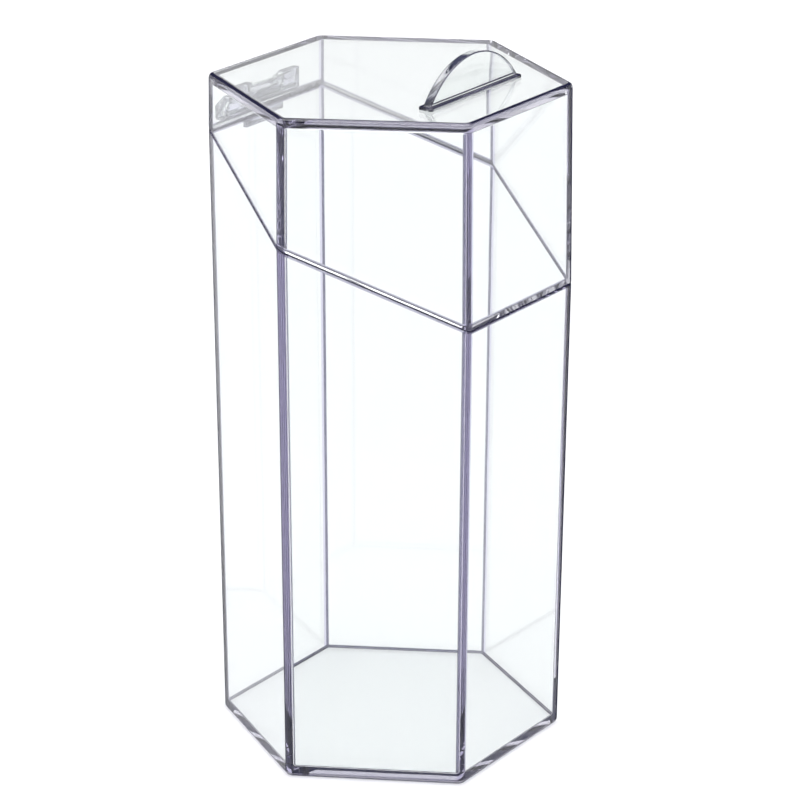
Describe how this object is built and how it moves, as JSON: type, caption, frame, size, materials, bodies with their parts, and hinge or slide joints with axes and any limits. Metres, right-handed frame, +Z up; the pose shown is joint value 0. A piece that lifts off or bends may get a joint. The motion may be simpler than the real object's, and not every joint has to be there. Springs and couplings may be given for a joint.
{
  "type": "brush holder",
  "caption": "Tall clear hexagonal beaker for make-up brushes, with a slant-cut flip lid on a pinned rear hinge and a half-moon lifting handle.",
  "frame": {"origin": "centre of the hexagon on the flat underside that the holder stands on", "axes": "+Z up, hinge on the +Y side, the lid's lifting side faces -Y, two corners of the hexagon on the X axis"},
  "size_m": [0.121, 0.1116, 0.2449],
  "materials": {
    "clear_body": "clear, polished, moulded",
    "clear_lid": "clear, polished, moulded",
    "clear_fittings": "clear, polished, moulded",
    "pin_steel": "drawn wire, satin"
  },
  "bodies": {
    "holder": {"body_shell": "clear_body", "hinge_body_leaf": "clear_fittings", "hinge_pin": "pin_steel"},
    "lid": {"lid_shell": "clear_lid", "lid_handle": "clear_fittings", "hinge_lid_leaf": "clear_fittings"}
  },
  "joints": [
    {"name": "lid_hinge", "type": "hinge", "parent": "holder", "child": "lid", "pos_m": [0, 0.05583, 0.2141], "axis": [-1, 0, 0], "range_deg": [0, 105]}
  ]
}
